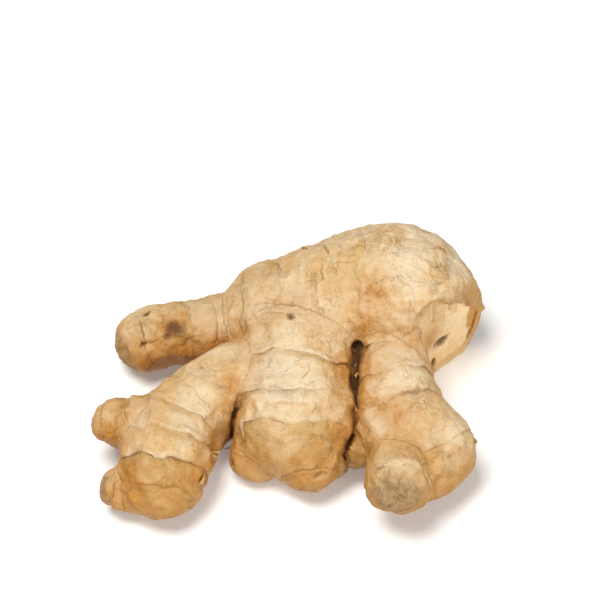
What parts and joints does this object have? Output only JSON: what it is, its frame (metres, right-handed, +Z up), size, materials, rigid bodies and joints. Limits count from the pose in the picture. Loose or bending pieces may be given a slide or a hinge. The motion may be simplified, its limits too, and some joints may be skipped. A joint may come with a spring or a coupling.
{
  "type": "ginger root",
  "caption": "Fresh ginger root: one knobbly rhizome with a thick mother piece cut off at one end and blunt fingers and knobs growing from it, lying on a surface.",
  "frame": {"origin": "under the middle of the root's bounding box, on the surface that it rests on", "axes": "+Z up, +X to the right along the mother piece and towards its cut end, -Y towards the ends of the long fingers"},
  "size_m": [0.1302, 0.1046, 0.0472],
  "materials": {
    "ginger_skin": "thin papery tan skin, satin to matt, with darker growth rings and dry brown knob ends"
  },
  "bodies": {
    "root": {"ginger_root": "ginger_skin"}
  },
  "joints": []
}
